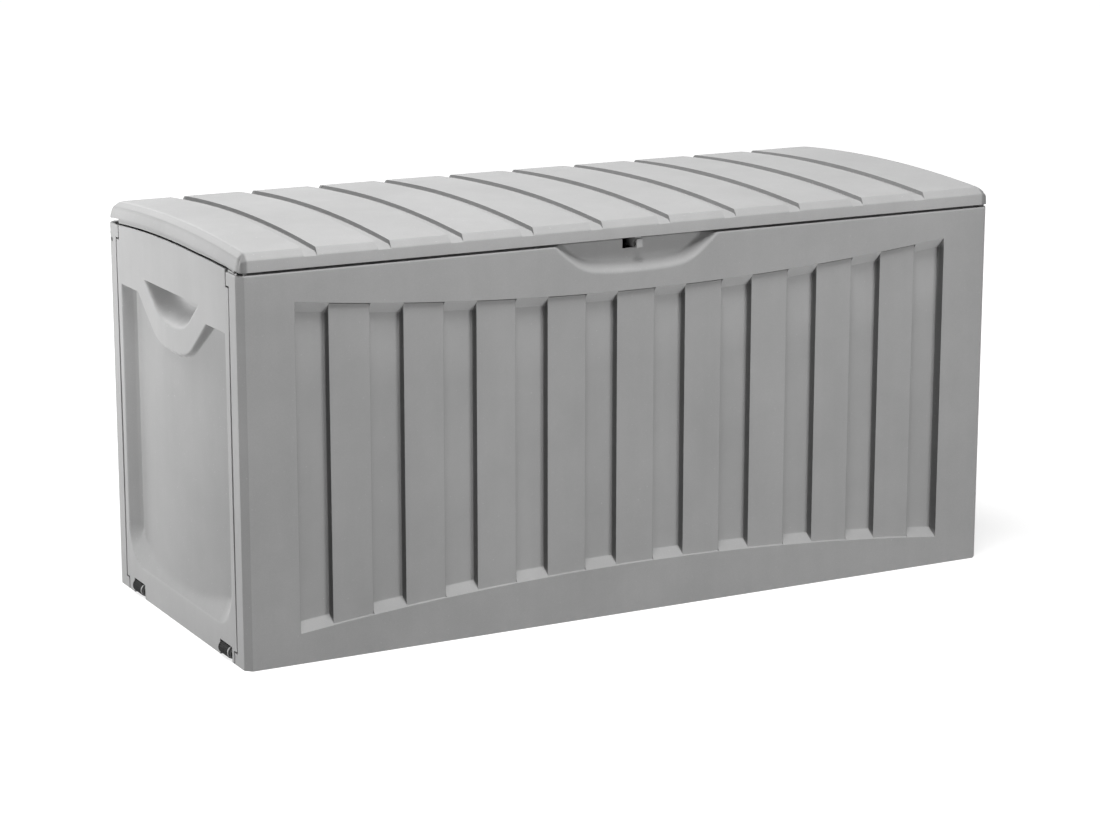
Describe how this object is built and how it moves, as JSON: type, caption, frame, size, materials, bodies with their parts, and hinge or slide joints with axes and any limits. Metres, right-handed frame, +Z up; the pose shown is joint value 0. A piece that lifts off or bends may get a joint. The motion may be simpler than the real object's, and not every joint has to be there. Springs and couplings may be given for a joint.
{
  "type": "storage box",
  "caption": "Long garden storage chest of moulded slatted panels with an arched hinged lid, a front grip with a lock slot, end carrying scoops and small rollers under one end.",
  "frame": {"origin": "middle of the chest's footprint, on the ground", "axes": "+X along the front to the right, +Y from the front to the back, +Z up"},
  "size_m": [1.2035, 0.492, 0.5785],
  "materials": {
    "panels": "moulded polypropylene, light grey, fine matte grain",
    "lid": "moulded polypropylene, light grey, fine matte grain",
    "arms": "moulded polypropylene, mid grey",
    "rollers": "moulded black plastic, ribbed tread",
    "steel": "zinc-plated steel"
  },
  "bodies": {
    "chest": {"front_panel": "panels", "front_grip": "panels", "back_panel": "panels", "left_end_panel": "panels", "right_end_panel": "panels", "floor_panel": "panels", "hinge_rod": "steel", "corner_screws": "steel", "floor_screws": "steel", "front_roller_pin": "rollers", "back_roller_pin": "rollers"},
    "lid": {"lid_shell": "lid", "hinge_arm_1": "arms", "hinge_arm_2": "arms", "hinge_arm_3": "arms", "hinge_arm_4": "arms", "hinge_arm_screws": "steel", "lock_tab": "lid", "lock_tab_screws": "steel"},
    "front_roller": {"front_roller": "rollers"},
    "back_roller": {"back_roller": "rollers"}
  },
  "joints": [
    {"name": "lid_hinge", "type": "hinge", "parent": "chest", "child": "lid", "pos_m": [0, 0.231, 0.517], "axis": [-1, 0, 0], "range_deg": [0, 100]},
    {"name": "front_roller_spin", "type": "hinge", "parent": "chest", "child": "front_roller", "pos_m": [-0.5935, -0.167, 0.0105], "axis": [0, 1, 0], "continuous": true},
    {"name": "back_roller_spin", "type": "hinge", "parent": "chest", "child": "back_roller", "pos_m": [-0.5935, 0.167, 0.0105], "axis": [0, 1, 0], "continuous": true}
  ]
}
